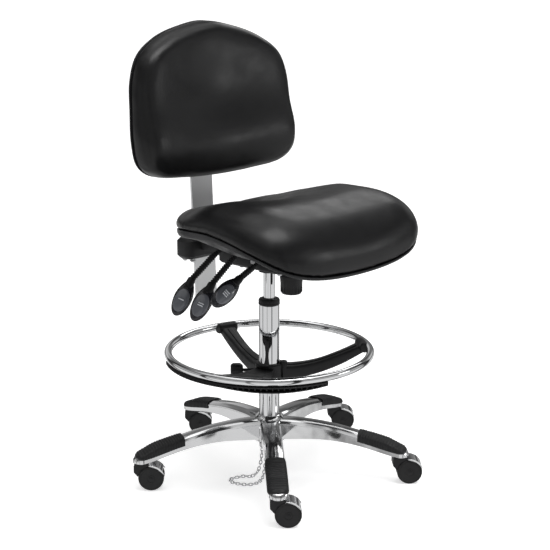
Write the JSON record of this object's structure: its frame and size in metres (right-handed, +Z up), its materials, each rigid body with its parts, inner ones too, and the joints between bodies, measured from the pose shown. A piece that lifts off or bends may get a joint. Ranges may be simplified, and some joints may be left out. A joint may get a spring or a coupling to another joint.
{
  "type": "drafting chair",
  "caption": "Tall padded drafting chair on a gas lift, with an adjustable foot ring, tilt levers and a star base on twin-wheel casters.",
  "frame": {"origin": "on the floor, on the swivel axis of the gas lift", "axes": "+Z up, the seat faces -Y, the sitter's right side with the levers is -X"},
  "size_m": [0.6896, 0.6801, 1.086],
  "materials": {
    "polished_aluminium": "polished casting with soft reflections",
    "chrome": "bright chrome plating",
    "brushed_bar": "satin plated flat bar",
    "steel": "plain zinc plated steel",
    "black_nylon": "fine-grained black moulding",
    "black_gloss": "glossy black moulding",
    "wheel_tread": "hard black caster wheel",
    "black_vinyl": "semi-gloss black vinyl upholstery over foam"
  },
  "bodies": {
    "base": {"star_base": "polished_aluminium", "arm_pad_1": "black_nylon", "arm_pad_2": "black_nylon", "arm_pad_3": "black_nylon", "arm_pad_4": "black_nylon", "arm_pad_5": "black_nylon", "caster_stem_1": "steel", "caster_stem_2": "steel", "caster_stem_3": "steel", "caster_stem_4": "steel", "caster_stem_5": "steel", "column_tube": "chrome", "column_bush": "black_nylon", "piston_rod": "steel", "chain_clip": "steel", "drag_chain": "chrome"},
    "caster_1": {"caster_housing_1": "black_nylon", "caster_axle_1": "steel"},
    "wheel_1_near": {"caster_wheel_1_near": "wheel_tread"},
    "wheel_1_far": {"caster_wheel_1_far": "wheel_tread"},
    "caster_2": {"caster_housing_2": "black_nylon", "caster_axle_2": "steel"},
    "wheel_2_near": {"caster_wheel_2_near": "wheel_tread"},
    "wheel_2_far": {"caster_wheel_2_far": "wheel_tread"},
    "caster_3": {"caster_housing_3": "black_nylon", "caster_axle_3": "steel"},
    "wheel_3_near": {"caster_wheel_3_near": "wheel_tread"},
    "wheel_3_far": {"caster_wheel_3_far": "wheel_tread"},
    "caster_4": {"caster_housing_4": "black_nylon", "caster_axle_4": "steel"},
    "wheel_4_near": {"caster_wheel_4_near": "wheel_tread"},
    "wheel_4_far": {"caster_wheel_4_far": "wheel_tread"},
    "caster_5": {"caster_housing_5": "black_nylon", "caster_axle_5": "steel"},
    "wheel_5_near": {"caster_wheel_5_near": "wheel_tread"},
    "wheel_5_far": {"caster_wheel_5_far": "wheel_tread"},
    "footring": {"footring_tube": "chrome", "footring_bracket": "black_nylon"},
    "footring_knob": {"footring_knob": "black_nylon"},
    "lift": {"gas_spring": "chrome"},
    "release_pin": {"gas_release_pin": "steel"},
    "mechanism": {"mechanism_housing": "black_nylon", "seat_pivot_pin": "steel", "back_pivot_pin": "steel"},
    "tension_knob": {"tension_knob": "black_nylon"},
    "seat": {"seat_plate": "steel", "seat_shell": "black_nylon", "seat_cushion": "black_vinyl"},
    "back_arm": {"back_arm": "black_nylon"},
    "back_lock_knob": {"back_lock_knob": "black_nylon"},
    "backrest": {"back_bar": "brushed_bar", "back_shell": "black_nylon", "back_cushion": "black_vinyl"},
    "lever_1": {"lever_stem_1": "black_nylon", "lever_paddle_1": "black_gloss"},
    "lever_2": {"lever_stem_2": "black_nylon", "lever_paddle_2": "black_gloss"},
    "lever_3": {"lever_stem_3": "black_nylon", "lever_paddle_3": "black_gloss"}
  },
  "joints": [
    {"name": "caster_swivel_1", "type": "hinge", "parent": "base", "child": "caster_1", "pos_m": [-0.21873, -0.24038, 0.06], "axis": [0, 0, 1], "continuous": true},
    {"name": "wheel_spin_1_near", "type": "hinge", "parent": "caster_1", "child": "wheel_1_near", "pos_m": [-0.20304, -0.2558, 0.0304], "axis": [0.7009, 0.7133, 0], "continuous": true},
    {"name": "wheel_spin_1_far", "type": "hinge", "parent": "caster_1", "child": "wheel_1_far", "pos_m": [-0.20304, -0.2558, 0.0304], "axis": [0.7009, 0.7133, 0], "continuous": true},
    {"name": "caster_swivel_2", "type": "hinge", "parent": "base", "child": "caster_2", "pos_m": [0.16102, -0.2823, 0.06], "axis": [0, 0, 1], "continuous": true},
    {"name": "wheel_spin_2_near", "type": "hinge", "parent": "caster_2", "child": "wheel_2_near", "pos_m": [0.17672, -0.29773, 0.0304], "axis": [0.7009, 0.7133, 0], "continuous": true},
    {"name": "wheel_spin_2_far", "type": "hinge", "parent": "caster_2", "child": "wheel_2_far", "pos_m": [0.17672, -0.29773, 0.0304], "axis": [0.7009, 0.7133, 0], "continuous": true},
    {"name": "caster_swivel_3", "type": "hinge", "parent": "base", "child": "caster_3", "pos_m": [0.31825, 0.06591, 0.06], "axis": [0, 0, 1], "continuous": true},
    {"name": "wheel_spin_3_near", "type": "hinge", "parent": "caster_3", "child": "wheel_3_near", "pos_m": [0.33394, 0.05049, 0.0304], "axis": [0.7009, 0.7133, 0], "continuous": true},
    {"name": "wheel_spin_3_far", "type": "hinge", "parent": "caster_3", "child": "wheel_3_far", "pos_m": [0.33394, 0.05049, 0.0304], "axis": [0.7009, 0.7133, 0], "continuous": true},
    {"name": "caster_swivel_4", "type": "hinge", "parent": "base", "child": "caster_4", "pos_m": [0.03566, 0.32304, 0.06], "axis": [0, 0, 1], "continuous": true},
    {"name": "wheel_spin_4_near", "type": "hinge", "parent": "caster_4", "child": "wheel_4_near", "pos_m": [0.05136, 0.30762, 0.0304], "axis": [0.7009, 0.7133, 0], "continuous": true},
    {"name": "wheel_spin_4_far", "type": "hinge", "parent": "caster_4", "child": "wheel_4_far", "pos_m": [0.05136, 0.30762, 0.0304], "axis": [0.7009, 0.7133, 0], "continuous": true},
    {"name": "caster_swivel_5", "type": "hinge", "parent": "base", "child": "caster_5", "pos_m": [-0.29621, 0.13374, 0.06], "axis": [0, 0, 1], "continuous": true},
    {"name": "wheel_spin_5_near", "type": "hinge", "parent": "caster_5", "child": "wheel_5_near", "pos_m": [-0.28051, 0.11832, 0.0304], "axis": [0.7009, 0.7133, 0], "continuous": true},
    {"name": "wheel_spin_5_far", "type": "hinge", "parent": "caster_5", "child": "wheel_5_far", "pos_m": [-0.28051, 0.11832, 0.0304], "axis": [0.7009, 0.7133, 0], "continuous": true},
    {"name": "footring_height", "type": "slide", "parent": "base", "child": "footring", "axis": [0, 0, 1], "range_m": [-0.08, 0.028]},
    {"name": "footring_knob_turn", "type": "hinge", "parent": "footring", "child": "footring_knob", "pos_m": [0, 0, 0.257], "axis": [-0.7431, 0.6691, 0], "range_deg": [-180, 180]},
    {"name": "seat_height", "type": "slide", "parent": "base", "child": "lift", "axis": [0, 0, 1], "range_m": [-0.04, 0.14]},
    {"name": "release_pin_press", "type": "slide", "parent": "lift", "child": "release_pin", "axis": [0, 0, 1], "range_m": [-0.0025, 0], "stiffness_N_per_m": 4000},
    {"name": "seat_swivel", "type": "hinge", "parent": "lift", "child": "mechanism", "pos_m": [0, 0, 0.54], "axis": [0, 0, 1], "continuous": true},
    {"name": "tension_knob_turn", "type": "hinge", "parent": "mechanism", "child": "tension_knob", "pos_m": [0, -0.073, 0.5], "axis": [0, 0, 1], "continuous": true},
    {"name": "seat_tilt", "type": "hinge", "parent": "mechanism", "child": "seat", "pos_m": [0, -0.0205, 0.546], "axis": [1, 0, 0], "range_deg": [-3.5, 4]},
    {"name": "back_tilt", "type": "hinge", "parent": "mechanism", "child": "back_arm", "pos_m": [0, 0.092, 0.538], "axis": [1, 0, 0], "range_deg": [-12, 5]},
    {"name": "back_lock_turn", "type": "hinge", "parent": "back_arm", "child": "back_lock_knob", "pos_m": [0, 0.26, 0.53], "axis": [0, 1, 0], "range_deg": [-180, 180]},
    {"name": "back_height", "type": "slide", "parent": "back_arm", "child": "backrest", "axis": [0, 0.0436, 0.999], "range_m": [-0.01, 0.06]},
    {"name": "lever_lift_1", "type": "hinge", "parent": "mechanism", "child": "lever_1", "pos_m": [-0.076, 0.09, 0.551], "axis": [0, 1, 0], "range_deg": [0, 8], "stiffness_Nm_per_rad": 1, "springref_deg": -5.73},
    {"name": "lever_lift_2", "type": "hinge", "parent": "mechanism", "child": "lever_2", "pos_m": [-0.076, 0.03, 0.549], "axis": [0, 1, 0], "range_deg": [0, 8], "stiffness_Nm_per_rad": 1, "springref_deg": -5.73},
    {"name": "lever_lift_3", "type": "hinge", "parent": "mechanism", "child": "lever_3", "pos_m": [-0.076, -0.035, 0.537], "axis": [0, 1, 0], "range_deg": [0, 8], "stiffness_Nm_per_rad": 1, "springref_deg": -5.73}
  ]
}
